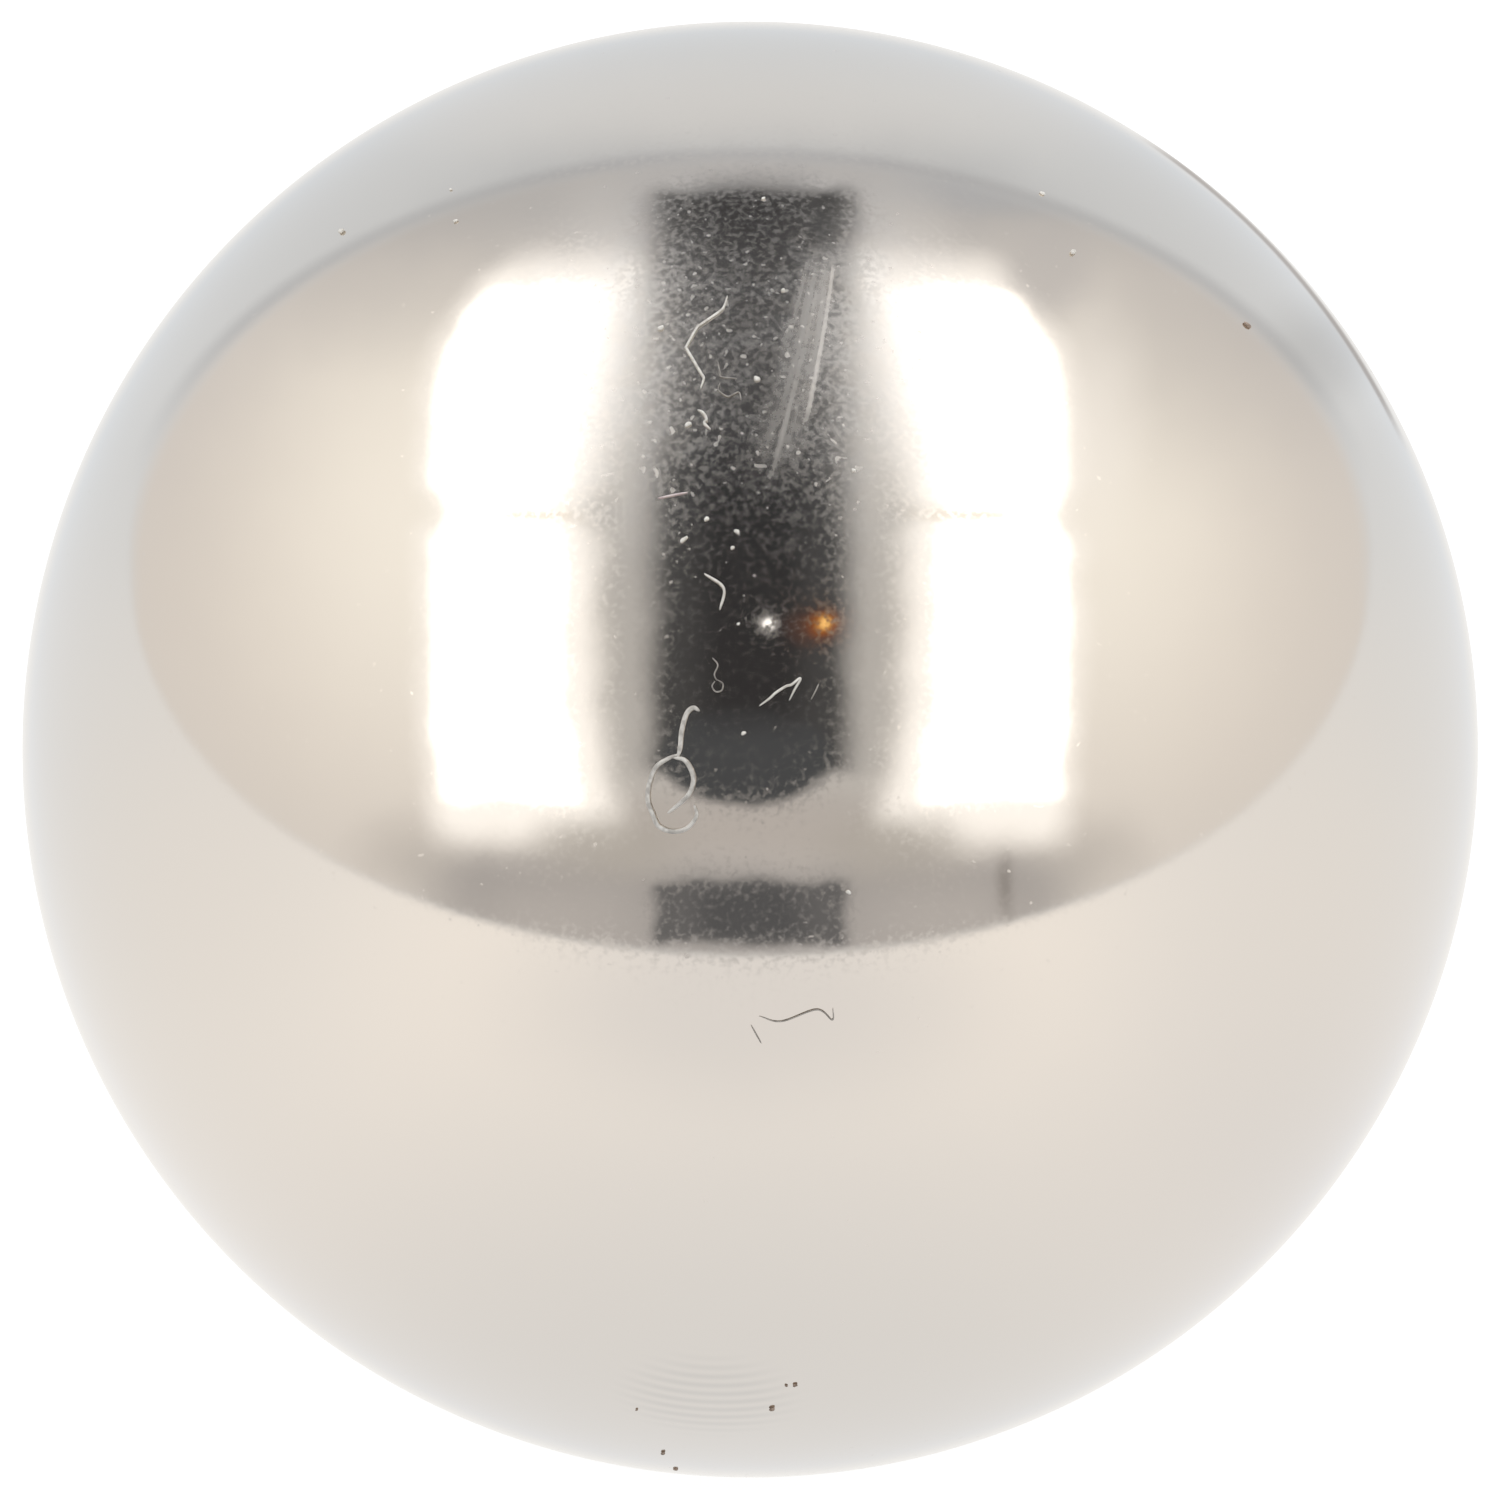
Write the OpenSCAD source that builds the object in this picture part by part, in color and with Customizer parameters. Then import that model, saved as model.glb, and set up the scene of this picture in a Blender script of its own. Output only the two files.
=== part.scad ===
// Ball magnet: one solid sphere of sintered magnet alloy, ground true, plated and tumbled bright.
// Millimetres, +Z up, with the origin at the centre of the ball.

/* [Ball] */
// Diameter of the finished ball, measured over its plating
ball_d = 30; // [5:0.5:50]

/* [Hidden] */

// Colour of the bright nickel plating
nickel_colour = [0.77, 0.71, 0.64];
// Flats round the ball's equator where it is drawn as facets
facets_round = 180;

// The whole magnet: a true sphere, with no hole, flat, parting line or seam.
module magnet_ball() {
  color(nickel_colour)
    sphere(d = ball_d, $fn = facets_round);
}

magnet_ball();
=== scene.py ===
import math

import bpy
import numpy as np
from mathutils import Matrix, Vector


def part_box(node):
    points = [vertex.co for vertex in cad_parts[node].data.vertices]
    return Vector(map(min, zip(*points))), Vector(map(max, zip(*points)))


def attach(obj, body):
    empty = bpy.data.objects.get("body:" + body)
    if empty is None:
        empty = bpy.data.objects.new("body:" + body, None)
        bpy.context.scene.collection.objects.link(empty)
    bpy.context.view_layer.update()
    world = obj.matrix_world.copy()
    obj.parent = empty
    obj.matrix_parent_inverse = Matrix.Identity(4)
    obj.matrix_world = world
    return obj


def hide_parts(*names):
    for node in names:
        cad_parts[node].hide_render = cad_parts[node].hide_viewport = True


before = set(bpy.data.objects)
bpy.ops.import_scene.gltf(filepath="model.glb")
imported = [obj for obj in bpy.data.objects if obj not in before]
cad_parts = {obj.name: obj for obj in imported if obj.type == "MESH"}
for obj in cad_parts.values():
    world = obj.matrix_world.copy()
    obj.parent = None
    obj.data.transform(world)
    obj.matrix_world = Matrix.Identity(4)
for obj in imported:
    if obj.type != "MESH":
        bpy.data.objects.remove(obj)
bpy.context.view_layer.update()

# Sphere magnet: a solid ball of sintered magnet, plated with bright nickel and
# tumble polished to a mirror. It stands in a white cloth light tent, because
# what a mirror ball shows is mostly the room round it.
#
# Sizes are in metres. Places on the ball and in the tent are given as
# (across, up) in ball radii, as seen along the main line of sight, with
# (0, 0) at the middle of the ball.

MM = 0.001

# ---------------------------------------------------------------- the ball
BALL_LOW, BALL_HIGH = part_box("magnet_ball")
BALL_RADIUS = (BALL_HIGH[2] - BALL_LOW[2]) / 2
GRID_CELLS = 120             # cells along each side of the six grids

# ------------------------------------------------------ main line of sight
SIGHT_TILT = math.radians(28.5)
SIGHT_BACK = np.array([0.0, -math.cos(SIGHT_TILT), math.sin(SIGHT_TILT)])
SIGHT_RIGHT = np.array([1.0, 0.0, 0.0])
SIGHT_UP = np.array([0.0, math.sin(SIGHT_TILT), math.cos(SIGHT_TILT)])
CAMERA_DISTANCE = 1.0
SENSOR_WIDTH = 36.0          # millimetres, across the frame's long side
FRAME_WIDTH = 1500           # pixels
BALL_IN_FRAME = 728.0        # pixels, the ball's radius in the frame
BALL_RIGHT_OF_CENTRE = 0.2   # pixels
BALL_BELOW_CENTRE = 4.9      # pixels

# ------------------------------------------------------------ lint and dust
FIBRE_RADIUS = 0.022 * MM    # real lint is half as thick, and would not show
FIBRE_SIDES = 8
FIBRE_STEPS = 14             # rings between two of a fibre's points
FIBRE_REST = 0.8             # its own radii from the ball to its centre line
FIBRE_LIFT = (0.35, 0.60, 0.85)  # its own radii that one fibre after another waves up
FIBRE_TAPER = 0.67           # share of its radius that it loses at both ends
FIBRE_TAPER_POWER = 6        # the higher, the nearer to the ends
MOTTLE_SIZE = 0.15 * MM      # of the paler and darker stretches along a fibre
MOTTLE_NOISE = (0.65, 0.35)  # where it is pale and where it is dark
MOTTLE_DETAIL = 2.0
LINT_ROUGHNESS = 0.75
LINT_SHEEN = 0.2
DUST_RINGS = 9
DUST_CORNERS = 12
DUST_POLE = 0.12             # radians from a grain's two poles to the next ring
DUST_LUMPS = (0.18, 0.12, 0.1)  # strength of the three sines that make it uneven
DUST_HEIGHT = 0.7            # against its width
DUST_REST = 0.5              # its own radii from the ball to its centre

# ------------------------------------------------------- the nickel's finish
# A pair of NOISE values says where a mark is full and where there is none of
# it. Noise runs from 0 to 1, a SIZE is that of its cells, and a DETAIL is how
# many finer noises lie on top of it.
NICKEL_TINT = "#E3DBD1"
NICKEL_TINT_WORN = "#E1DDD8"
POLISH_ROUGHNESS = 0.055
KNOCKS_MIDDLE = (-0.01, 0.54)
KNOCKS_REACH = (0.10 * BALL_RADIUS, 0.46 * BALL_RADIUS)  # where they are thickest, and end
CLUMP_SIZE = 0.60 * MM       # of the patches that took more knocks and fewer
CLUMP_DETAIL = 2.0
CLUMP_NOISE = (0.62, 0.38)
CLUMP_SHARE = 0.25           # share of the wear that comes in clumps
HAZE_ROUGHNESS = 0.066       # what wear adds evenly
GRAIN_SIZE = 0.125 * MM      # of the etched grain; the real one is finer, and would not show
GRAIN_DETAIL = 3.0
GRAIN_NOISE = (0.76, 0.46)
GRAIN_POWER = 0.6            # below 1, more of the grain is strong
GRAIN_WEAR = 0.10            # what wear adds to the grain's noise
GRAIN_ROUGHNESS = 0.150
BELT_SHARE = 0.75            # share of the grain that lies only in a belt over the front
BELT_SPAN = (0.20 * BALL_RADIUS, 0.40 * BALL_RADIUS)  # off the middle, where it is full, and ends
KNOCKED_SHARE = 0.31         # share of the grain that lies only where the ball took knocks
PIT_SIZE = 0.14 * MM         # from one possible pit to the next
PIT_DETAIL = 0.0
PIT_NOISE = (0.87, 0.78)
PIT_WEAR = 0.07              # what wear adds to the pits' noise
PIT_ROUGHNESS = 0.175
PEEL_SIZE = 0.28 * MM        # orange peel, from crest to crest
PEEL_DETAIL = 1.0
PEEL_DEPTH = 0.0005 * MM

# ------------------------------------------ the nickel's scratches, and a painted reflection near its foot
# Painted reflection: curved rings near the foot darken the colour, as the mirror shows a clear ring the
# ball stood on.
ARCS_REFLECTION_TINT = "#D2CCC4"
ARCS_CENTRE = (-0.058, -0.72)
ARCS_MIDDLE = (-0.058, -0.887)
ARCS_STEP = 0.36 * MM        # from one painted ring to the next
ARCS_REACH = (0.77 * MM, 2.2 * MM)  # from their middle, where they are full and where they end
ARCS_AMOUNT = 0.6
SCRATCH_TOP = (0.122, 0.765)
SCRATCH_FOOT = (0.022, 0.325)
SCRATCH_BEND = 0.18 * MM     # how far both ends of the band lie to the left of a straight one
SCRATCH_HALF_WIDTH = 0.46 * MM
SCRATCH_FLARE = 0.50         # how much wider the band is at its foot, and narrower at its top
SCRATCH_ROUGHNESS = 0.309
# Along the band, places count from -1 at its foot to 1 at its top, and across
# it they count in half widths. The fine lines are full up to the first of two
# such distances, and end at the second.
LINES_ACROSS = (0.6, 1.1)
LINES_MIDDLE = -0.15
LINES_ALONG = (0.42, 0.88)
LINES_EACH_SIDE = 3.0        # fine lines in half the band's width
LINES_DETAIL = 2.0
LINES_NOISE = (0.66, 0.36)
LINES_SHARE = 0.50           # share of the dullness that is lines, and not even
WIPED = 0.35                 # share of the haze that is rubbed off at the band's top
WIPED_ACROSS = (0.7, 1.3)
WIPED_MIDDLE = 0.85
WIPED_ALONG = (0.15, 0.45)
DEEP_ROUGHNESS = 0.17        # what a deep scratch adds to the others
DEEP_ACROSS = (0.03, 0.13)
DEEP_FADES = (0.12, 0.06)    # how soon a deep scratch is full from its foot and from its top
# Each: its place across the band, its depth, and its foot and its top.
DEEP_SCRATCHES = [
    (0.79, 1.0, -0.55, 0.46),
    (0.1, 0.28, -0.95, 0.3),
    (-1.2, 0.9, 0.53, 0.62),
]


def linear(hex_colour):
    """Turns an sRGB hex colour into linear red, green, blue and 1."""
    digits = hex_colour.lstrip("#")
    shares = [int(digits[i:i + 2], 16) / 255 for i in (0, 2, 4)]
    return [s / 12.92 if s <= 0.04045 else ((s + 0.055) / 1.055) ** 2.4 for s in shares] + [1.0]


def add_node(tree, kind, *values, named=None, output=None, **settings):
    """Adds a node with its settings, links or sets its inputs, and gives back one output.

    kind is the node's name, with its operation after it where it has one.
    Values go in order into the inputs that its settings leave in use, and
    named values into the inputs of those names. The output is the first one
    in use, or the one whose name is given.
    """
    kind, _, operation = kind.partition(" ")
    node = tree.nodes.new("ShaderNode" + kind)
    if operation:
        node.operation = operation
    for name, value in settings.items():
        setattr(node, name, value)
    inputs = list(zip([socket for socket in node.inputs if socket.enabled], values))
    inputs += [(node.inputs[name], value) for name, value in (named or {}).items()]
    for socket, value in inputs:
        if isinstance(value, bpy.types.NodeSocket):
            tree.links.new(value, socket)
        else:
            socket.default_value = value
    if output:
        return node.outputs[output]
    return next((socket for socket in node.outputs if socket.enabled), None)


def fade(tree, value, full, none, amount=1.0):
    """A soft edge: amount where value is at full, 0 where it is at none, and a smooth S between.

    The amount may come from another node, and the result is then the product.
    """
    if full < none:
        limits = (full, none, amount, 0.0)
    else:
        limits = (none, full, 0.0, amount)
    return add_node(tree, "MapRange", value, *limits, interpolation_type="SMOOTHSTEP")


def off(tree, value, middle):
    """How far a value lies from a middle, on either side."""
    return add_node(tree, "Math ABSOLUTE", add_node(tree, "Math SUBTRACT", value, middle))


def beyond(tree, value, start):
    """How far a value lies beyond a start, and 0 before it."""
    return add_node(tree, "Math MAXIMUM", add_node(tree, "Math SUBTRACT", value, start), 0.0)


# ==================================================================== shapes
def make_mesh(name, points, faces):
    """Puts computed points and faces into a new smooth object at the origin."""
    mesh = bpy.data.meshes.new(name)
    mesh.from_pydata(points.tolist(), [], [list(face) for face in faces])
    mesh.validate()
    mesh.shade_smooth()
    piece = bpy.data.objects.new(name, mesh)
    bpy.context.scene.collection.objects.link(piece)
    return piece


def ball_surface(radius, cells):
    """Six square grids pushed out on to a ball.

    A grid's two parameters run from -45 to 45 degrees, and their tangents are
    the place on one side of a cube of half side 1. Each point is then divided
    by its distance from the centre and multiplied by the radius. Points that
    two sides share are merged, so the ball is one closed skin with no pole.
    """
    slopes = np.tan(np.linspace(-math.pi / 4, math.pi / 4, cells + 1))
    first, second = np.meshgrid(slopes, slopes, indexing="ij")
    number = np.arange((cells + 1) ** 2).reshape(cells + 1, cells + 1)
    square = [number[:-1, :-1], number[1:, :-1], number[1:, 1:], number[:-1, 1:]]
    square = np.stack(square, axis=-1).reshape(-1, 4)
    points = []
    faces = []
    for side in range(6):
        facing = 1.0 if side < 3 else -1.0
        cube = np.stack([np.full_like(first, facing), first, second], axis=-1)
        cube = np.roll(cube.reshape(-1, 3), side % 3, axis=1)
        points.append(cube / np.linalg.norm(cube, axis=1, keepdims=True))
        turned = square if facing > 0 else square[:, ::-1]
        faces.append(turned + side * number.size)
    points = np.concatenate(points)
    faces = np.concatenate(faces)
    merged, place = np.unique(np.round(points, 7), axis=0, return_inverse=True)
    merged = merged / np.linalg.norm(merged, axis=1, keepdims=True)
    return merged * radius, place.reshape(-1)[faces]


def on_ball(places):
    """Points on the ball's surface at (across, up) places, and the outward directions there.

    A direction is across times right, plus up times up, plus what is left of
    a length of 1 towards the eye. The point is the direction times the ball's
    radius.
    """
    places = np.asarray(places, dtype=float)
    across = places[:, :1]
    up = places[:, 1:2]
    depth = np.sqrt(1 - across ** 2 - up ** 2)
    outward = across * SIGHT_RIGHT + up * SIGHT_UP + depth * SIGHT_BACK
    return outward * BALL_RADIUS, outward


def smooth_path(places, steps):
    """A Catmull-Rom curve through the places.

    Each stretch is a cubic that passes its two ends along the direction
    between their neighbours.
    """
    places = np.asarray(places, dtype=float)
    ends = np.vstack([2 * places[0] - places[1], places, 2 * places[-1] - places[-2]])
    before, start = ends[:-3, None], ends[1:-2, None]
    stop, after = ends[2:-1, None], ends[3:, None]
    t = np.linspace(0, 1, steps, endpoint=False)[None, :, None]
    curve = 0.5 * (2 * start + (stop - before) * t
                   + (2 * before - 5 * start + 4 * stop - after) * t ** 2
                   + (3 * start - before - 3 * stop + after) * t ** 3)
    return np.vstack([curve.reshape(-1, places.shape[1]), places[-1:]])


def loft(rings, first_point):
    """Skins a stack of rings, shaped (ring, corner, 3), and closes both ends with a flat face."""
    count, corners = rings.shape[:2]
    number = np.arange(count * corners).reshape(count, corners) + first_point
    ahead = np.roll(number, -1, axis=1)
    sides = np.stack([number[:-1], ahead[:-1], ahead[1:], number[1:]], axis=-1).reshape(-1, 4)
    caps = [number[0, ::-1].tolist(), number[-1].tolist()]
    return rings.reshape(-1, 3), sides.tolist() + caps


def fibre_rings(places, radius, lift):
    """Rings along a fibre that lies on the ball.

    The centre line is the smooth path through its places, lifted off the ball
    by its own thickness and by one wave of a cosine. A ring is that centre
    plus the radius times the cosine of the angle outward and its sine
    sideways, and the radius falls to a third at both ends.
    """
    path = smooth_path(places, FIBRE_STEPS)
    share = np.linspace(0, 1, len(path))
    centre, outward = on_ball(path)
    height = radius * (FIBRE_REST + lift * (1 - np.cos(2 * math.pi * share)))
    centre = centre + outward * height[:, None]
    along = np.gradient(centre, axis=0)
    along /= np.linalg.norm(along, axis=1, keepdims=True)
    aside = np.cross(along, outward)
    aside /= np.linalg.norm(aside, axis=1, keepdims=True)
    rise = np.cross(aside, along)
    taper = radius * (1 - FIBRE_TAPER * np.abs(2 * share - 1) ** FIBRE_TAPER_POWER)
    angle = np.linspace(0, 2 * math.pi, FIBRE_SIDES, endpoint=False)[None, :, None]
    ring = np.cos(angle) * rise[:, None] + np.sin(angle) * aside[:, None]
    return centre[:, None] + ring * taper[:, None, None]


def lint_piece(name, fibres, radius):
    """One piece of several fibres, each a list of places on the ball."""
    points = []
    faces = []
    total = 0
    for order, places in enumerate(fibres):
        rings = fibre_rings(places, radius, FIBRE_LIFT[order % len(FIBRE_LIFT)])
        skin, skin_faces = loft(rings, total)
        points.append(skin)
        faces.extend(skin_faces)
        total += len(skin)
    return make_mesh(name, np.concatenate(points), faces)


def grain_rings(place, size, stretch, turn):
    """Rings of one dust grain.

    Its radius is the size times one plus three sines of its two angles, tilt
    from the pole and spin round it, so that no two sides are alike. It is
    stretched along one direction on the ball, flattened outward, and sunk a
    little way in to the ball, so that it sits on it.
    """
    centre, outward = on_ball([place])
    aside = np.cross(outward[0], SIGHT_UP)
    aside /= np.linalg.norm(aside)
    ahead = np.cross(outward[0], aside)
    one = math.cos(turn) * aside + math.sin(turn) * ahead
    two = np.cross(outward[0], one)
    tilt = np.linspace(DUST_POLE, math.pi - DUST_POLE, DUST_RINGS)[:, None]
    spin = np.linspace(0, 2 * math.pi, DUST_CORNERS, endpoint=False)[None, :]
    uneven = 1 + DUST_LUMPS[0] * np.sin(2 * spin + 3 * turn) * np.sin(tilt)
    uneven = uneven + DUST_LUMPS[1] * np.sin(3 * spin - turn) * np.sin(tilt) ** 2
    uneven = uneven + DUST_LUMPS[2] * np.sin(2 * tilt + turn)
    reach = size * uneven
    ring = (
        (reach * np.sin(tilt) * np.cos(spin) * stretch)[..., None] * one
        + (reach * np.sin(tilt) * np.sin(spin))[..., None] * two
        + (reach * np.cos(tilt) * DUST_HEIGHT)[..., None] * outward[0]
    )
    return centre[0] + outward[0] * size * DUST_REST + ring[::-1]


def dust_piece(name, grains):
    """One piece of several grains, each given as its place, size in mm, stretch and turn."""
    points = []
    faces = []
    total = 0
    for place, size, stretch, turn in grains:
        skin, skin_faces = loft(grain_rings(place, size * MM, stretch, turn), total)
        points.append(skin)
        faces.extend(skin_faces)
        total += len(skin)
    return make_mesh(name, np.concatenate(points), faces)


# ================================================================= materials
def new_material(name):
    """An empty node material, and its node tree."""
    material = bpy.data.materials.new(name)
    material.use_nodes = True
    material.node_tree.nodes.clear()
    return material, material.node_tree


def bright_nickel():
    """Bright nickel, electroplated and then tumble polished.

    The eye sees a warm white mirror. Knocks leave haze, grain and pits, which
    spread the light and so show pale on a dark reflection. A faint orange
    peel makes straight reflections wobble. There is one band of parallel
    scratches on the upper front. Near the foot, a few curved rings darkened into the colour are a
    painted reflection of a clear ring the ball stood on.
    """
    material, tree = new_material("bright_nickel_tumble_polished")
    place = add_node(tree, "TexCoord", output="Object")

    # The ball took most of its knocks on the upper front, some of them in clumps.
    (knocks,), _ = on_ball([KNOCKS_MIDDLE])
    knocked = add_node(tree, "VectorMath DISTANCE", place, tuple(knocks))
    knocked = fade(tree, knocked, *KNOCKS_REACH)
    clumps = add_node(tree, "TexNoise", place, 1 / CLUMP_SIZE, CLUMP_DETAIL)
    clumps = fade(tree, clumps, *CLUMP_NOISE, CLUMP_SHARE)
    clumps = add_node(tree, "Math ADD", clumps, 1 - CLUMP_SHARE)
    wear = add_node(tree, "Math MULTIPLY", knocked, clumps)

    # The grain stands alone where the ball is sound and runs together where it is worn.
    grain = add_node(tree, "TexNoise", place, 1 / GRAIN_SIZE, GRAIN_DETAIL)
    grain = add_node(tree, "Math MULTIPLY_ADD", wear, GRAIN_WEAR, grain)
    grain = add_node(tree, "Math POWER", fade(tree, grain, *GRAIN_NOISE), GRAIN_POWER)
    belt = add_node(tree, "Math ABSOLUTE", add_node(tree, "SeparateXYZ", place, output="X"))
    belt = add_node(tree, "Math ADD", fade(tree, belt, *BELT_SPAN, BELT_SHARE), 1 - BELT_SHARE)
    grain = add_node(tree, "Math MULTIPLY", grain, belt)
    thick = add_node(tree, "Math MULTIPLY_ADD", knocked, KNOCKED_SHARE, 1 - KNOCKED_SHARE)
    grain = add_node(tree, "Math MULTIPLY", grain, thick)
    pits = add_node(tree, "TexNoise", place, 1 / PIT_SIZE, PIT_DETAIL)
    pits = add_node(tree, "Math MULTIPLY_ADD", wear, PIT_WEAR, pits)
    pits = fade(tree, pits, *PIT_NOISE)

    scratches, deep, wiped = scratch_band(tree, place)
    rough = add_node(tree, "Math MULTIPLY_ADD", grain, GRAIN_ROUGHNESS, POLISH_ROUGHNESS)
    rough = add_node(tree, "Math MULTIPLY_ADD", wear, HAZE_ROUGHNESS, rough)
    rough = add_node(tree, "Math MULTIPLY", rough, add_node(tree, "Math SUBTRACT", 1.0, wiped))
    to_scratches = add_node(tree, "Math SUBTRACT", SCRATCH_ROUGHNESS, rough)
    rough = add_node(tree, "Math MULTIPLY_ADD", to_scratches, scratches, rough)
    rough = add_node(tree, "Math MULTIPLY_ADD", deep, DEEP_ROUGHNESS, rough)
    rough = add_node(tree, "Math MULTIPLY_ADD", pits, PIT_ROUGHNESS, rough)

    worn = add_node(tree, "Math MAXIMUM", scratches, wear)
    tint, tint_worn = linear(NICKEL_TINT), linear(NICKEL_TINT_WORN)
    tint = add_node(tree, "Mix", worn, tint, tint_worn, data_type="RGBA")
    # Painted reflection of a clear ring the ball stood on: darker curved rings near the foot.
    ring_reflection = painted_ring_reflection(tree, place)
    tint = add_node(tree, "Mix", ring_reflection, tint, linear(ARCS_REFLECTION_TINT), data_type="RGBA")
    peel = add_node(tree, "TexNoise", place, 1 / PEEL_SIZE, PEEL_DETAIL)
    peel = add_node(tree, "Bump", named={"Strength": 1.0, "Distance": PEEL_DEPTH, "Height": peel})

    surface = {"Base Color": tint, "Metallic": 1.0, "Roughness": rough, "Normal": peel}
    add_node(tree, "OutputMaterial", add_node(tree, "BsdfPrincipled", named=surface))
    return material


def painted_ring_reflection(tree, place):
    """A painted reflection near the foot: a few curved rings side by side, as of a clear ring the ball
    stood on.

    They are half of one plus the sine of the distance from their centre, and
    fade out with the distance from their middle.
    """
    (centre, middle), _ = on_ball([ARCS_CENTRE, ARCS_MIDDLE])
    wave = add_node(tree, "VectorMath DISTANCE", place, tuple(centre))
    wave = add_node(tree, "Math MULTIPLY", wave, 2 * math.pi / ARCS_STEP)
    wave = add_node(tree, "Math SINE", wave)
    reflected_rings = add_node(tree, "Math MULTIPLY_ADD", wave, ARCS_AMOUNT / 2, ARCS_AMOUNT / 2)
    from_middle = add_node(tree, "VectorMath DISTANCE", place, tuple(middle))
    return fade(tree, from_middle, *ARCS_REACH, reflected_rings)


def scratch_band(tree, place):
    """Fine scratches and deep ones in a long narrow patch that bends, and where haze is wiped off.

    run is how far a point is along the band, from -1 at its foot to 1 at its
    top, and side how far off its middle line, in half widths. The middle line
    bends by a square of run. The fine lines are noise that is stretched along
    run, over an even dullness, and the deep ones are listed one by one.
    """
    (top, foot), _ = on_ball([SCRATCH_TOP, SCRATCH_FOOT])
    middle = (top + foot) / 2
    half_length = float(np.linalg.norm(top - foot)) / 2
    along = (top - foot) / (2 * half_length)
    aside = np.cross(along, middle / np.linalg.norm(middle))
    aside = aside / np.linalg.norm(aside)
    from_middle = add_node(tree, "VectorMath SUBTRACT", place, tuple(middle))
    run = add_node(tree, "VectorMath DOT_PRODUCT", from_middle, tuple(along / half_length))
    side = add_node(tree, "VectorMath DOT_PRODUCT", from_middle, tuple(aside))
    bend = add_node(tree, "Math MULTIPLY", run, run)
    side = add_node(tree, "Math MULTIPLY_ADD", bend, SCRATCH_BEND, side)
    flare = -SCRATCH_FLARE * SCRATCH_HALF_WIDTH
    half_width = add_node(tree, "Math MULTIPLY_ADD", run, flare, SCRATCH_HALF_WIDTH)
    side = add_node(tree, "Math DIVIDE", side, half_width)
    off_middle = add_node(tree, "Math ABSOLUTE", side)

    stretched = add_node(tree, "Math MULTIPLY", side, LINES_EACH_SIDE)
    stretched = add_node(tree, "CombineXYZ", run, stretched)
    fine = add_node(tree, "TexNoise", stretched, 1.0, LINES_DETAIL)
    fine = fade(tree, fine, *LINES_NOISE, LINES_SHARE)
    fine = add_node(tree, "Math ADD", fine, 1 - LINES_SHARE)
    fine = fade(tree, off_middle, *LINES_ACROSS, fine)
    fine = fade(tree, off(tree, run, LINES_MIDDLE), *LINES_ALONG, fine)

    deep = 0.0
    foot_fade, top_fade = DEEP_FADES
    for line_side, line_depth, line_foot, line_top in DEEP_SCRATCHES:
        line = fade(tree, off(tree, side, line_side), *DEEP_ACROSS, line_depth)
        line = fade(tree, run, line_foot + foot_fade, line_foot, line)
        line = fade(tree, run, line_top - top_fade, line_top, line)
        deep = add_node(tree, "Math MAXIMUM", deep, line)

    wiped = fade(tree, off_middle, *WIPED_ACROSS, WIPED)
    wiped = fade(tree, off(tree, run, WIPED_MIDDLE), *WIPED_ALONG, wiped)
    return fine, deep, wiped


def lint_material(name, pale, dark):
    """Lint or dust: dull cotton and paper fluff, a little mottled, with a soft sheen."""
    material, tree = new_material(name)
    place = add_node(tree, "TexCoord", output="Object")
    mottle = add_node(tree, "TexNoise", place, 1 / MOTTLE_SIZE, MOTTLE_DETAIL)
    mottle = fade(tree, mottle, *MOTTLE_NOISE)
    tint = add_node(tree, "Mix", mottle, linear(dark), linear(pale), data_type="RGBA")
    surface = {"Base Color": tint, "Roughness": LINT_ROUGHNESS, "Sheen Weight": LINT_SHEEN}
    add_node(tree, "OutputMaterial", add_node(tree, "BsdfPrincipled", named=surface))
    return material


# ================================================================ light tent
# Where nothing else is said, of two values in brackets the first is where a
# thing is full, and the second where it is gone.
TENT_LEVEL = 1.1             # light of the tent's white cloth
SEAM_ELEVATION = -4.0        # degrees, where the tent's floor meets its walls
SEAM_BLUR = 0.9              # degrees
SWEEP = (0.10, 0.45)         # ball radii up, where the floor has swept up into the back cloth
CLOTH_WAVES = 14.0           # noise cells in a ball radius
CLOTH_DETAIL = 1.0
CLOTH_WAVER = 0.018          # ball radii, how far the edges of the light waver
ARCH_FOOT = 0.253            # the front wall shows as an arch: straight sides up to here,
ARCH_REACH = (0.857, 0.560)  # and half an oval of this reach across and up above
ARCH_EDGE = 0.987            # share of that reach where the wall ends
ARCH_BLUR = 0.018
HEM_WIDTH = 0.030            # the arch has a faint shaded hem
HEM_AMOUNT = 0.42
HEM_RISE = (0.62, 0.34)      # ball radii up
HEM_COLOUR = "#A6A9B0"
PALE_BACK_COLOUR = "#F1EFEB"
PALE_BACK_AMOUNT = 0.8
PALE_BACK_RADII = (1.002, 0.984)  # ball radii, close along the outline
BACK_EDGE_COLOUR = "#7C706A"
BACK_EDGE_AMOUNT = 0.55
BACK_EDGE_CENTRE = (-0.0057, 0.0120, 0.0)
BACK_EDGE_RADIUS = 0.990
BACK_EDGE_WIDTH = (0.0010, 0.0050)
BACK_EDGE_MIDDLE = (0.75, 0.66, 0.0)
BACK_EDGE_REACH = (0.20, 0.30)
OPENING_SPAN = (0.30, 0.34)  # beyond here nothing of the opening shows
LEAN_FOOT = 0.37             # above here the windows' inner edges lean together,
LEAN = 0.25                  # by this much for each step up,
ROUND_FOOT = 0.45            # and above here their outer edges round off,
ROUND = 2.2                  # by this much for each step up, squared
LOW_FOOT = 0.07              # below here the inner edges lean back,
LOW_LEAN = 0.17              # by this much for each step down,
OUTER_LOW_LEAN = 0.08        # and the outer ones by this much
NOTCH_RISE = 0.325           # at the bar between two panes their rounded corners
NOTCH_REACH = 0.040          # make a notch this far up and down,
NOTCH_DEPTH = 0.016          # and this deep


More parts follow.
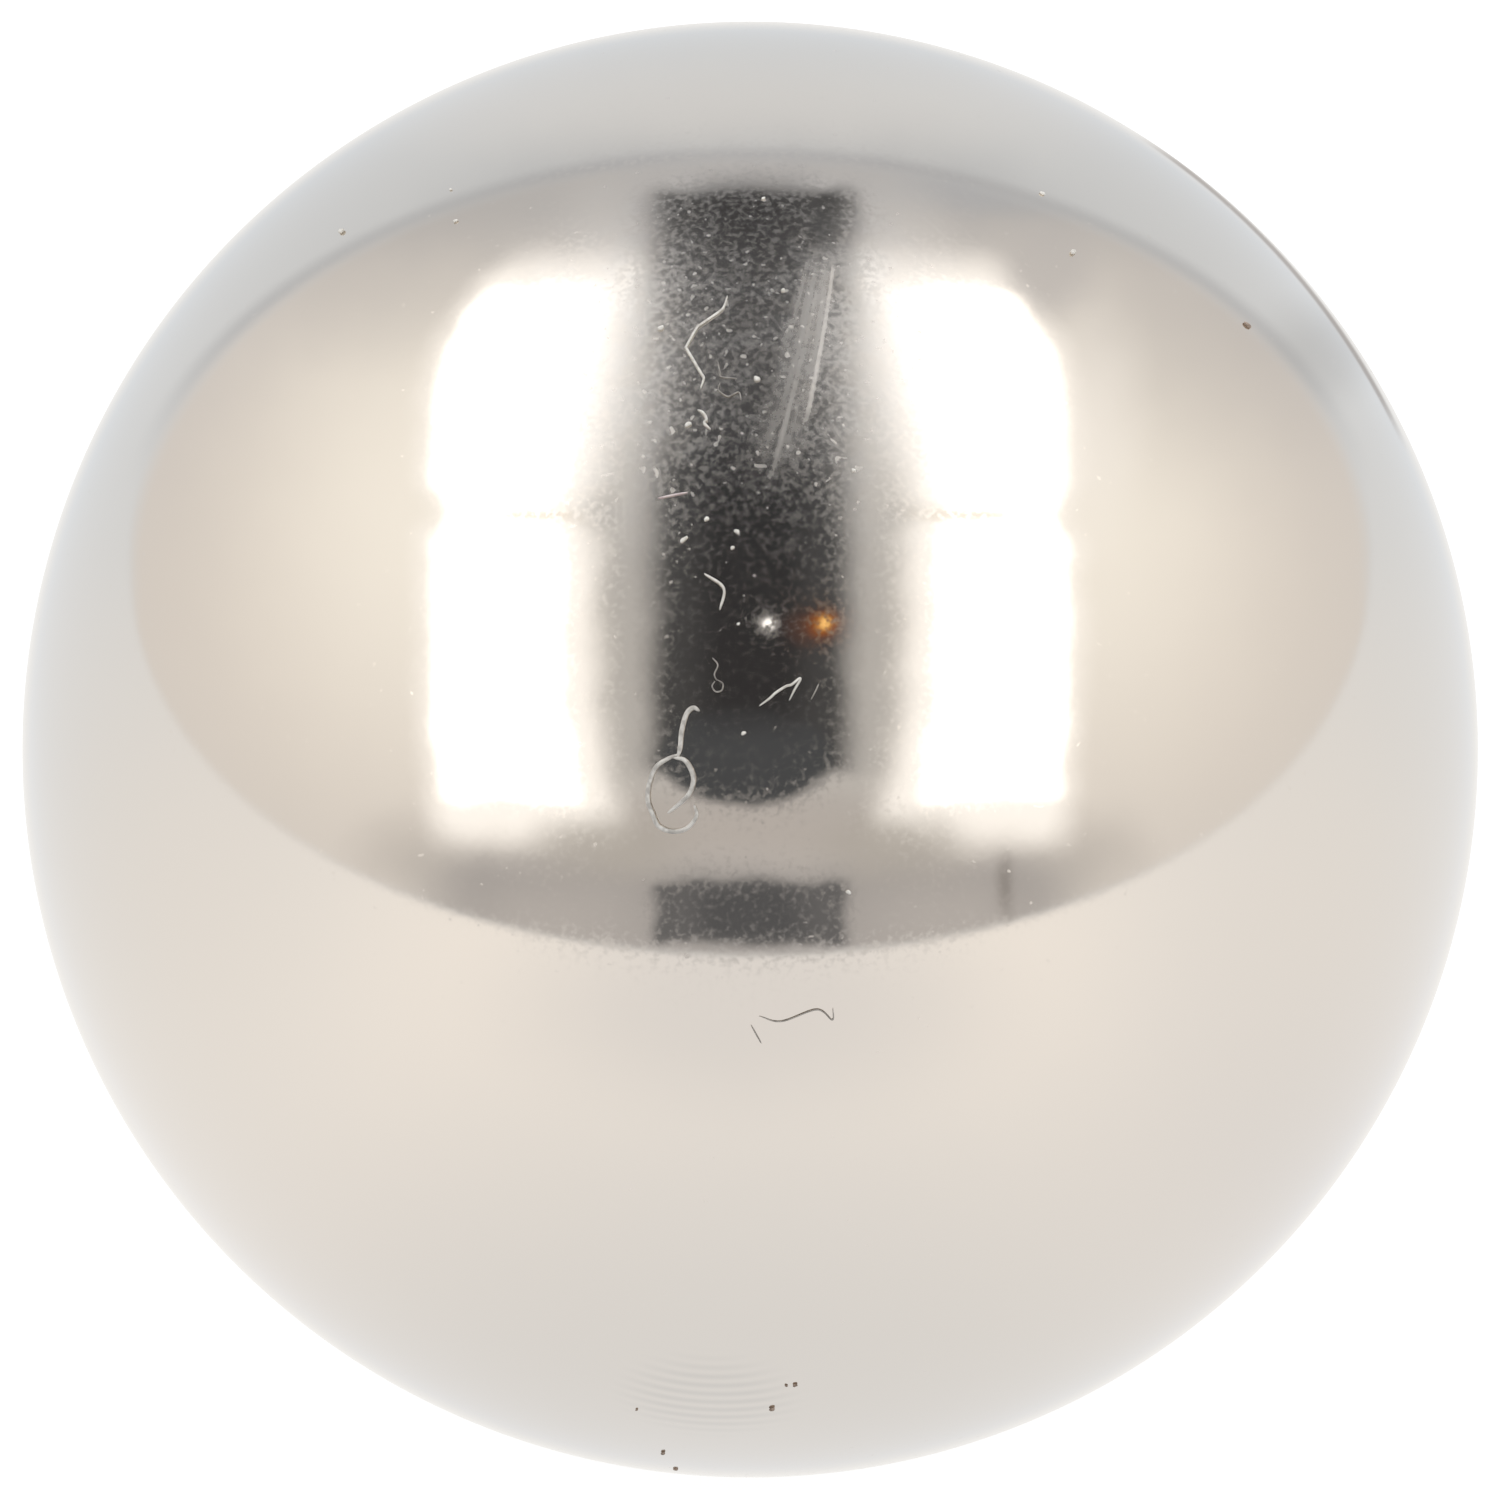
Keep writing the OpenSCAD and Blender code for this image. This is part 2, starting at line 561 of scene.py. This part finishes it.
def glow(place, reach, blur, amount, colour, gain=1.0, pair=False):
    """A soft oval of light or shade on the cloth, or a pair of them, left and right.

    place is its middle, and reach how far off its edge lies, across and up.
    blur is the share of the reach over which that edge is soft on each side,
    amount is how much it hides of what is under it, and gain is how much
    brighter it is than its colour.
    """
    return {"place": place, "reach": reach, "blur": blur, "pair": pair,
            "amount": amount, "colour": colour, "gain": gain}


def band(span, rise, blur, amount, colour, gain=1.0, inner="span", outer="span"):
    """A soft-edged rectangle, mirrored left and right.

    span is from its inner to its outer edge, counted from the middle, with
    None where it reaches right across, and rise is from its foot to its top.
    inner and outer say whether an edge is straight, leans or is rounded off.
    blur is half the width of its soft side edges, and of its foot and top.
    amount, colour and gain are as a glow's.
    """
    return {"span": span, "rise": rise, "blur": blur, "inner": inner, "outer": outer,
            "amount": amount, "colour": colour, "gain": gain}


ROOF_AND_BACK = "#D9DFE6"
SIDES = [
    # shade round the front wall, thicker over its top, and paler cloth above that
    glow((0, 0.384), (0.879, 0.474), 0.22, 0.2, "#B7BEC7"),
    glow((0, 0.63), (0.40, 0.23), 0.35, 0.75, "#B7BCC4"),
    glow((0, 0.875), (0.40, 0.055), 0.9, 0.55, "#E6E9ED"),
]
FLOOR_CLOTH = "#F8F7F7"
FLOOR = [
    # the windows' light, the shade before the opening, and the shade under the ball
    glow((0.50, -0.30), (0.62, 0.30), 0.9, 0.9, "#FFFDFB", pair=True),
    glow((0, -0.344), (0.261, 0.124), 0.7, 0.85, "#EAEAEC"),
    glow((0, -1.004), (0.962, 0.453), 0.8, 0.9, "#E5E8EC"),
]
RIM = [
    # cool cloth at both sides, shade low on the right, light at the wall's feet, and a fold
    glow((0.948, 0.20), (0.357, 0.66), 0.8, 0.8, "#E2E8EF", pair=True),
    glow((0.78, -0.50), (0.26, 0.26), 0.9, 0.45, "#E3E5EA"),
    glow((0.77, -0.14), (0.17, 0.26), 0.9, 0.45, "#F5F3F1", pair=True),
    glow((0.772, 0.545), (0.065, 0.055), 0.9, 0.8, "#C8CDD3"),
]
FRONT_CLOTH = "#CFCFD2"
FRONT = [
    # the windows' light on the cloth round them
    glow((0.46, 0.16), (0.44, 0.42), 0.75, 0.8, "#F4F0EB", pair=True),
    glow((0.44, 0.33), (0.19, 0.26), 0.9, 0.8, "#FFFEF9", 1.1, pair=True),
    # shade along the wall's top and along its foot
    band((None, 0.70), (0.70, 0.845), (0.10, 0.06), 0.9, "#C0C2C6"),
    band((None, 0.435), (-0.35, -0.14), (0.075, 0.045), 1, "#B0AFB0"),
    # paler cloth under the opening and beside the low slot
    band((None, 0.19), (-0.15, -0.05), (0.03, 0.03), 1, "#C2BFBE"),
    glow((0.275, -0.235), (0.11, 0.055), 0.9, 0.65, "#C6C4C4", pair=True),
    # shade at the windows' low outer corners, and high on the right and on the left
    glow((0.470, -0.140), (0.060, 0.045), 0.9, 0.35, "#B0ADAB", pair=True),
    glow((0.60, 0.62), (0.24, 0.18), 0.9, 0.40, "#B9B9BC"),
    glow((-0.50, 0.66), (0.16, 0.10), 0.9, 0.35, "#BABABD"),
]
WINDOW_RISE = (-0.124, 0.668)
WINDOW_CORE_RISE = (-0.068, 0.628)
WINDOWS = [
    # two windows of light, their bright core, and the bar between two panes
    band((0.200, 0.447), WINDOW_RISE, (0.030, 0.032), 1, "#FFFFFF", 1.2, "lean", "round"),
    band((0.259, 0.428), WINDOW_CORE_RISE, (0.018, 0.012), 1, "#FFFCF9", 2.6, "lean", "round"),
    glow((0.290, 0.320), (0.090, 0.008), 0.6, 1, "#FFFAF2", 1.05, pair=True),
    # the right one's dull upper corner, its spill beside it, the shade over it,
    # and a seam in the cloth under it
    glow((0.405, 0.66), (0.06, 0.065), 0.6, 0.7, "#CBCBCE"),
    glow((0.462, 0.450), (0.060, 0.120), 0.9, 0.5, "#FFFFFF", 1.1),
    glow((0.36, 0.776), (0.16, 0.042), 0.5, 0.85, "#BABFC7"),
    glow((0.349, -0.187), (0.010, 0.034), 0.9, 0.60, "#84807D"),
]
OPENING = [
    # the cloth beside the slot, with a dark fold at its top
    glow((0.19, -0.13), (0.085, 0.040), 0.8, 0.85, "#BAB8B5", pair=True),
    glow((0.125, 0.735), (0.026, 0.034), 0.5, 0.8, "#5E6062"),
    band((None, 0.205), (-0.06, 0.66), (0.035, 0.05), 1, "#C0C0C0", outer="lean"),
    # the dark slot, its round foot, and the darkest part down its middle
    band((None, 0.134), (-0.030, 0.764), (0.029, 0.010), 1, "#4A4B4D"),
    glow((-0.006, -0.010), (0.117, 0.064), 0.12, 1, "#4C4F53"),
    band((None, 0.070), (0.04, 0.768), (0.035, 0.040), 0.9, "#333335"),
    # the windows' light that spills over it
    glow((0.08, 0.57), (0.12, 0.13), 0.95, 0.065, "#F0F0F2", 1.3, pair=True),
    glow((0.20, 0.52), (0.07, 0.16), 0.95, 0.40, "#F4F2F0", 1.3, pair=True),
    # the low slot and its darker middle
    band((None, 0.131), (-0.266, -0.180), (0.011, 0.007), 1, "#6A6B6E"),
    band((None, 0.070), (-0.262, -0.183), (0.030, 0.020), 0.6, "#4C4E52"),
    # the white lamp, and the orange one with its halo and its core
    glow((0.0214, 0.169), (0.0080, 0.0084), 0.12, 1, "#FFFFFF", 1.8),
    glow((0.088, 0.168), (0.034, 0.018), 0.9, 0.30, "#8A4A1E"),
    glow((0.100, 0.171), (0.016, 0.014), 0.7, 0.9, "#B0601F"),
    glow((0.1005, 0.172), (0.0075, 0.0065), 0.6, 1, "#FFD080", 1.3),
]
FLOOR_SHEET_REACH = 3.0      # metres
FLOOR_SHEET_COLOUR = "#A8A8A8"
FLOOR_SHEET_LIGHT = 0.80


def paint(tree, ways, patches, colour):
    """Lays soft patches over a colour, one after another."""
    for patch in patches:
        mask = glow_mask(tree, ways, patch) if "reach" in patch else band_mask(tree, ways, patch)
        over = [channel * patch["gain"] for channel in linear(patch["colour"])[:3]] + [1.0]
        colour = add_node(tree, "Mix", mask, colour, over, data_type="RGBA")
    return colour


def glow_mask(tree, ways, patch):
    """A glow's edge is where the place, less its middle and divided by its reach, has a length of 1."""
    (across, up), (reach_across, reach_up) = patch["place"], patch["reach"]
    place = ways["pair" if patch["pair"] else "place"]
    scale = (1 / reach_across, 1 / reach_up, 0.0)
    shift = (-across / reach_across, -up / reach_up, 0.0)
    local = add_node(tree, "VectorMath MULTIPLY_ADD", place, scale, shift)
    radius = add_node(tree, "VectorMath LENGTH", local)
    return fade(tree, radius, 1 - patch["blur"], 1 + patch["blur"], patch["amount"])


def band_mask(tree, ways, patch):
    """The product of a fade for each edge that a band has, times its amount."""
    (inner, outer), (foot, top) = patch["span"], patch["rise"]
    side_blur, end_blur = patch["blur"]
    mask = fade(tree, ways["up"], top - end_blur, top + end_blur, patch["amount"])
    mask = fade(tree, ways["up"], foot + end_blur, foot - end_blur, mask)
    mask = fade(tree, ways[patch["outer"]], outer - side_blur, outer + side_blur, mask)
    if inner is not None:
        mask = fade(tree, ways[patch["inner"]], inner + side_blur, inner - side_blur, mask)
    return mask


def tent_ways(tree, direction):
    """The places that the tent's cloth is laid out by.

    For a ray that leaves in a direction, the ball's surface that mirrors it to
    the main line of sight faces half way between the two. The across and up
    parts of that facing are the calm place, in ball radii. A slow noise makes
    it waver, as cloth does. pair folds left over right. lean and round are the
    distance off the middle, changed with the height for edges that lean or
    are rounded off.
    """
    facing = add_node(tree, "VectorMath ADD", direction, tuple(SIGHT_BACK))
    facing = add_node(tree, "VectorMath NORMALIZE", facing)
    across = add_node(tree, "VectorMath DOT_PRODUCT", facing, tuple(SIGHT_RIGHT))
    up = add_node(tree, "VectorMath DOT_PRODUCT", facing, tuple(SIGHT_UP))
    calm = add_node(tree, "CombineXYZ", across, up)
    waver = add_node(tree, "TexNoise", calm, CLOTH_WAVES, CLOTH_DETAIL,
                     noise_dimensions="2D", output="Color")
    waver = add_node(tree, "VectorMath SUBTRACT", waver, (0.5, 0.5, 0.5))
    reach = (CLOTH_WAVER, CLOTH_WAVER, 0.0)
    place = add_node(tree, "VectorMath MULTIPLY_ADD", waver, reach, calm)
    up = add_node(tree, "SeparateXYZ", place, output="Y")
    span = add_node(tree, "Math ABSOLUTE", add_node(tree, "SeparateXYZ", place, output="X"))
    pair = add_node(tree, "CombineXYZ", span, up)

    below = beyond(tree, LOW_FOOT, up)
    inner = add_node(tree, "Math MULTIPLY_ADD", below, LOW_LEAN, span)
    outer = add_node(tree, "Math MULTIPLY_ADD", below, OUTER_LOW_LEAN, span)
    notch = fade(tree, off(tree, up, NOTCH_RISE), 0.0, NOTCH_REACH, NOTCH_DEPTH)
    inner = add_node(tree, "Math SUBTRACT", inner, notch)
    outer = add_node(tree, "Math ADD", outer, notch)
    above = beyond(tree, up, LEAN_FOOT)
    lean = add_node(tree, "Math MULTIPLY_ADD", above, LEAN, inner)
    above = beyond(tree, up, ROUND_FOOT)
    above = add_node(tree, "Math MULTIPLY", above, above)
    rounded = add_node(tree, "Math MULTIPLY_ADD", above, ROUND, outer)
    return {"calm": calm, "place": place, "pair": pair,
            "up": up, "span": span, "lean": lean, "round": rounded}


def light_tent():
    """The tent is the world's light, for what the mirror shows. All else sees plain white."""
    world = bpy.data.worlds.new("light_tent")
    bpy.context.scene.world = world
    world.use_nodes = True
    world.cycles.sampling_method = "NONE"
    tree = world.node_tree
    tree.nodes.clear()
    direction = add_node(tree, "TexCoord", output="Generated")
    ways = tent_ways(tree, direction)

    height = add_node(tree, "SeparateXYZ", direction, output="Z")
    seam_foot = math.sin(math.radians(SEAM_ELEVATION - SEAM_BLUR))
    seam_top = math.sin(math.radians(SEAM_ELEVATION + SEAM_BLUR))
    on_floor = fade(tree, height, seam_foot, seam_top)
    off_floor = add_node(tree, "Math SUBTRACT", 1.0, on_floor)

    # The cloth behind the ball sweeps up from the floor with no seam.
    near_floor = fade(tree, ways["up"], *SWEEP, on_floor)
    floor = paint(tree, ways, FLOOR, linear(FLOOR_CLOTH))
    outside = paint(tree, ways, SIDES, linear(ROOF_AND_BACK))
    outside = add_node(tree, "Mix", near_floor, outside, floor, data_type="RGBA")
    outside = paint(tree, ways, RIM, outside)
    arch = arch_size(tree, ways["calm"])
    outside = hem(tree, ways["calm"], arch, outside)
    outside = back_cloth(tree, ways["calm"], outside)

    front = paint(tree, ways, FRONT + WINDOWS, linear(FRONT_CLOTH))
    middle = paint(tree, ways, OPENING, front)
    in_arch = fade(tree, arch, ARCH_EDGE - ARCH_BLUR, ARCH_EDGE + ARCH_BLUR, off_floor)
    in_middle = fade(tree, ways["span"], *OPENING_SPAN)

    # Mixing lights, and not colours, leaves what is not seen uncomputed.
    outside, front, middle = [
        add_node(tree, "Background", colour, TENT_LEVEL) for colour in (outside, front, middle)
    ]
    front = add_node(tree, "MixShader", in_middle, front, middle)
    tent = add_node(tree, "MixShader", in_arch, outside, front)
    white = add_node(tree, "Background", (1.0, 1.0, 1.0, 1.0), 1.0)
    mirrored = add_node(tree, "LightPath", output="Is Glossy Ray")
    add_node(tree, "OutputWorld", add_node(tree, "MixShader", mirrored, white, tent))


def arch_size(tree, calm):
    """How large an arch like the front wall's passes through a place.

    It is the length of the place across, divided by the arch's reach across,
    and the height over the arch's foot, divided by its reach up. Below the
    foot that height is 0, so the sides are straight.
    """
    across = add_node(tree, "SeparateXYZ", calm, output="X")
    up = beyond(tree, add_node(tree, "SeparateXYZ", calm, output="Y"), ARCH_FOOT)
    across = add_node(tree, "Math DIVIDE", across, ARCH_REACH[0])
    up = add_node(tree, "Math DIVIDE", up, ARCH_REACH[1])
    return add_node(tree, "VectorMath LENGTH", add_node(tree, "CombineXYZ", across, up))


def hem(tree, calm, arch, colour):
    """The shaded hem along the upper part of the front wall's arch."""
    up = add_node(tree, "SeparateXYZ", calm, output="Y")
    shade = fade(tree, off(tree, arch, 1.0), 0.0, HEM_WIDTH, HEM_AMOUNT)
    shade = fade(tree, up, *HEM_RISE, shade)
    return add_node(tree, "Mix", shade, colour, linear(HEM_COLOUR), data_type="RGBA")


def back_cloth(tree, calm, colour):
    """What lies straight behind the ball and shows along its outline.

    It is a paler cloth, and its dark edge on the upper right: a thin arc about
    a centre of its own.
    """
    radius = add_node(tree, "VectorMath LENGTH", calm)
    pale = fade(tree, radius, *PALE_BACK_RADII, PALE_BACK_AMOUNT)
    colour = add_node(tree, "Mix", pale, colour, linear(PALE_BACK_COLOUR), data_type="RGBA")
    radius = add_node(tree, "VectorMath DISTANCE", calm, BACK_EDGE_CENTRE)
    edge = fade(tree, off(tree, radius, BACK_EDGE_RADIUS), *BACK_EDGE_WIDTH, BACK_EDGE_AMOUNT)
    from_middle = add_node(tree, "VectorMath DISTANCE", calm, BACK_EDGE_MIDDLE)
    edge = fade(tree, from_middle, *BACK_EDGE_REACH, edge)
    return add_node(tree, "Mix", edge, colour, linear(BACK_EDGE_COLOUR), data_type="RGBA")


def tent_floor():
    """A square acrylic sheet under the ball. It shows white, and keeps a faint shadow."""
    square = np.array([[-1.0, -1.0], [1.0, -1.0], [1.0, 1.0], [-1.0, 1.0]])
    corners = np.insert(square * FLOOR_SHEET_REACH, 2, -BALL_RADIUS, axis=1)
    sheet = make_mesh("tent_floor", corners, [(0, 1, 2, 3)])
    material, tree = new_material("opal_acrylic_lit_from_below")
    to_camera = add_node(tree, "LightPath", output="Is Camera Ray")
    surface = {
        "Base Color": linear(FLOOR_SHEET_COLOUR),
        "Roughness": 1.0,
        "Specular IOR Level": 0.0,
        "Emission Color": (1.0, 1.0, 1.0, 1.0),
        "Emission Strength": add_node(tree, "Math MULTIPLY", to_camera, FLOOR_SHEET_LIGHT),
    }
    add_node(tree, "OutputMaterial", add_node(tree, "BsdfPrincipled", named=surface))
    sheet.data.materials.append(material)
    sheet.visible_glossy = False


def main_camera():
    """A long lens along the main line of sight, with the ball as large as it should be."""
    half_angle = math.asin(BALL_RADIUS / CAMERA_DISTANCE)
    lens_pixels = BALL_IN_FRAME / math.tan(half_angle)
    pixel = BALL_RADIUS / BALL_IN_FRAME
    aim = SIGHT_UP * BALL_BELOW_CENTRE * pixel - SIGHT_RIGHT * BALL_RIGHT_OF_CENTRE * pixel
    data = bpy.data.cameras.new("main_camera")
    data.sensor_width = SENSOR_WIDTH
    data.lens = lens_pixels / FRAME_WIDTH * SENSOR_WIDTH
    camera = bpy.data.objects.new("main_camera", data)
    camera.location = aim + SIGHT_BACK * CAMERA_DISTANCE
    camera.rotation_euler = (math.pi / 2 - SIGHT_TILT, 0.0, 0.0)
    bpy.context.scene.collection.objects.link(camera)
    bpy.context.scene.camera = camera


# ==================================================================== pieces
# A fibre is the list of places that it runs through.
PALE_LINT = [
    [(-0.031, 0.615), (-0.035, 0.602), (-0.041, 0.594), (-0.068, 0.575), (-0.073, 0.570),
     (-0.086, 0.546), (-0.085, 0.541), (-0.066, 0.509), (-0.063, 0.503), (-0.067, 0.490)],
    [(-0.071, 0.460), (-0.064, 0.456), (-0.059, 0.447), (-0.062, 0.442), (-0.054, 0.434)],
    [(-0.062, 0.238), (-0.036, 0.218), (-0.041, 0.189)],
    [(0.0124, 0.059), (0.0259, 0.0689), (0.0349, 0.077), (0.0484, 0.0855), (0.056, 0.0878),
     (0.0664, 0.0959), (0.0668, 0.0927), (0.0605, 0.0819), (0.0529, 0.0666)],
]
DUSTY_LINT = [
    # a short thread that hangs down to a loop, and the loop's two sides
    [(-0.0686, 0.0522), (-0.0772, 0.0563), (-0.0862, 0.0477), (-0.0925, 0.0252),
     (-0.0947, 0.0028), (-0.0979, -0.0098)],
    [(-0.0965, -0.0062), (-0.1114, -0.0125), (-0.1267, -0.0233), (-0.1357, -0.0445),
     (-0.1379, -0.0683), (-0.1312, -0.0872), (-0.1231, -0.1034), (-0.1046, -0.1106),
     (-0.0853, -0.1061), (-0.0727, -0.0899), (-0.0754, -0.0746)],
    [(-0.1046, -0.0107), (-0.0889, -0.0143), (-0.079, -0.0287), (-0.0767, -0.0431),
     (-0.0826, -0.0602), (-0.0961, -0.0737), (-0.1114, -0.0859)],
]
PINK_LINT = [[(-0.125, 0.34), (-0.085, 0.348)]]
GREY_LINT = [
    [(-0.044, 0.526), (-0.041, 0.511), (-0.039, 0.505), (-0.018, 0.503)],
    [(-0.041, 0.497), (-0.043, 0.487), (-0.030, 0.478), (-0.016, 0.484), (-0.012, 0.474)],
    [(0.012, -0.361), (0.042, -0.368), (0.09, -0.352), (0.111, -0.366), (0.112, -0.35)],
    [(0.001, -0.373), (0.015, -0.398)],
    [(-0.0511, 0.1242), (-0.0439, 0.1143), (-0.0484, 0.1017), (-0.0448, 0.0927)],
    [(-0.0448, 0.0945), (-0.0371, 0.0891), (-0.0385, 0.0801), (-0.0466, 0.0783),
     (-0.0515, 0.0855), (-0.0475, 0.0927)],
    [(0.0929, 0.0891), (0.0884, 0.0792), (0.0826, 0.068)],
]
# A grain is its place, its size in millimetres, how far it is stretched, and its turn in radians.
PALE_DUST = [
    ((-0.084, 0.44), 0.055, 1.2, 0.3),
    ((-0.121, 0.571), 0.055, 1.3, 1.1),
    ((0.009, 0.502), 0.060, 1.2, 2.0),
    ((0.018, 0.749), 0.032, 1.3, 0.9),
    ((0.045, 0.623), 0.040, 1.4, 1.5),
    ((-0.059, 0.312), 0.045, 1.1, 0.2),
    ((-0.018, 0.295), 0.050, 1.1, 2.6),
    ((-0.024, 0.273), 0.040, 1.0, 0.5),
    ((-0.09, 0.284), 0.045, 2.0, 0.8),
    ((0.14, 0.378), 0.045, 1.1, 1.9),
    ((0.133, -0.193), 0.045, 1.2, 2.9),
    ((0.439, 0.676), 0.060, 1.2, 0.4),
    ((0.398, 0.757), 0.045, 1.3, 2.2),
    ((-0.557, 0.706), 0.060, 1.2, 1.3),
    ((-0.401, 0.719), 0.040, 1.2, 0.6),
    ((-0.408, 0.763), 0.030, 1.3, 1.7),
    ((-0.016, 0.17), 0.030, 1.2, 1.0),
    ((-0.009, 0.022), 0.045, 1.1, 0.4),
]
BROWN_DUST = [
    ((0.678, 0.578), 0.052, 1.9, 2.2),
    ((0.030, -0.899), 0.050, 1.5, 1.2),
    ((0.061, -0.866), 0.040, 1.2, 0.6),
    ((0.049, -0.867), 0.030, 1.2, 2.1),
    ((-0.155, -0.901), 0.026, 1.2, 0.3),
    ((-0.119, -0.962), 0.045, 1.6, 1.0),
    ((-0.102, -0.986), 0.036, 1.4, 2.4),
]


# Each: name, fibres, thickness against a plain cotton fibre, finish, pale and dark colour.
LINT = [
    ("pale_lint", PALE_LINT, 1.15, "cotton_lint", "#E9E6E0", "#CBC7C0"),
    ("dusty_lint", DUSTY_LINT, 2.1, "dusty_cotton_lint", "#DAD7D1", "#B4B0AA"),
    ("pink_lint", PINK_LINT, 0.9, "pink_cotton_lint", "#E6D8D8", "#D0BEC0"),
    ("grey_lint", GREY_LINT, 0.6, "grey_hair", "#A8A39D", "#86817B"),
]
# Each: name, grains, finish, pale and dark colour.
DUST = [
    ("pale_dust", PALE_DUST, "paper_dust", "#F2EFE9", "#D5D1C9"),
    ("brown_dust", BROWN_DUST, "earth_dust", "#B5A395", "#8E7C6F"),
]


def plated_ball():
    """The ball itself, in place of the plain solid."""
    points, faces = ball_surface(BALL_RADIUS, GRID_CELLS)
    ball = make_mesh("plated_ball", points, faces.tolist())
    ball.data.materials.append(bright_nickel())
    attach(ball, "root")
    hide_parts("magnet_ball")


def lint_and_dust():
    """What clings to the front of the ball."""
    for name, fibres, thickness, finish, pale, dark in LINT:
        cling(lint_piece(name, fibres, FIBRE_RADIUS * thickness), lint_material(finish, pale, dark))
    for name, grains, finish, pale, dark in DUST:
        cling(dust_piece(name, grains), lint_material(finish, pale, dark))


def cling(piece, material):
    """Gives a piece its material, and lets it go where the ball goes."""
    piece.data.materials.append(material)
    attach(piece, "root")


light_tent()
tent_floor()
main_camera()
plated_ball()
lint_and_dust()

bpy.context.scene.view_settings.view_transform = "Standard"
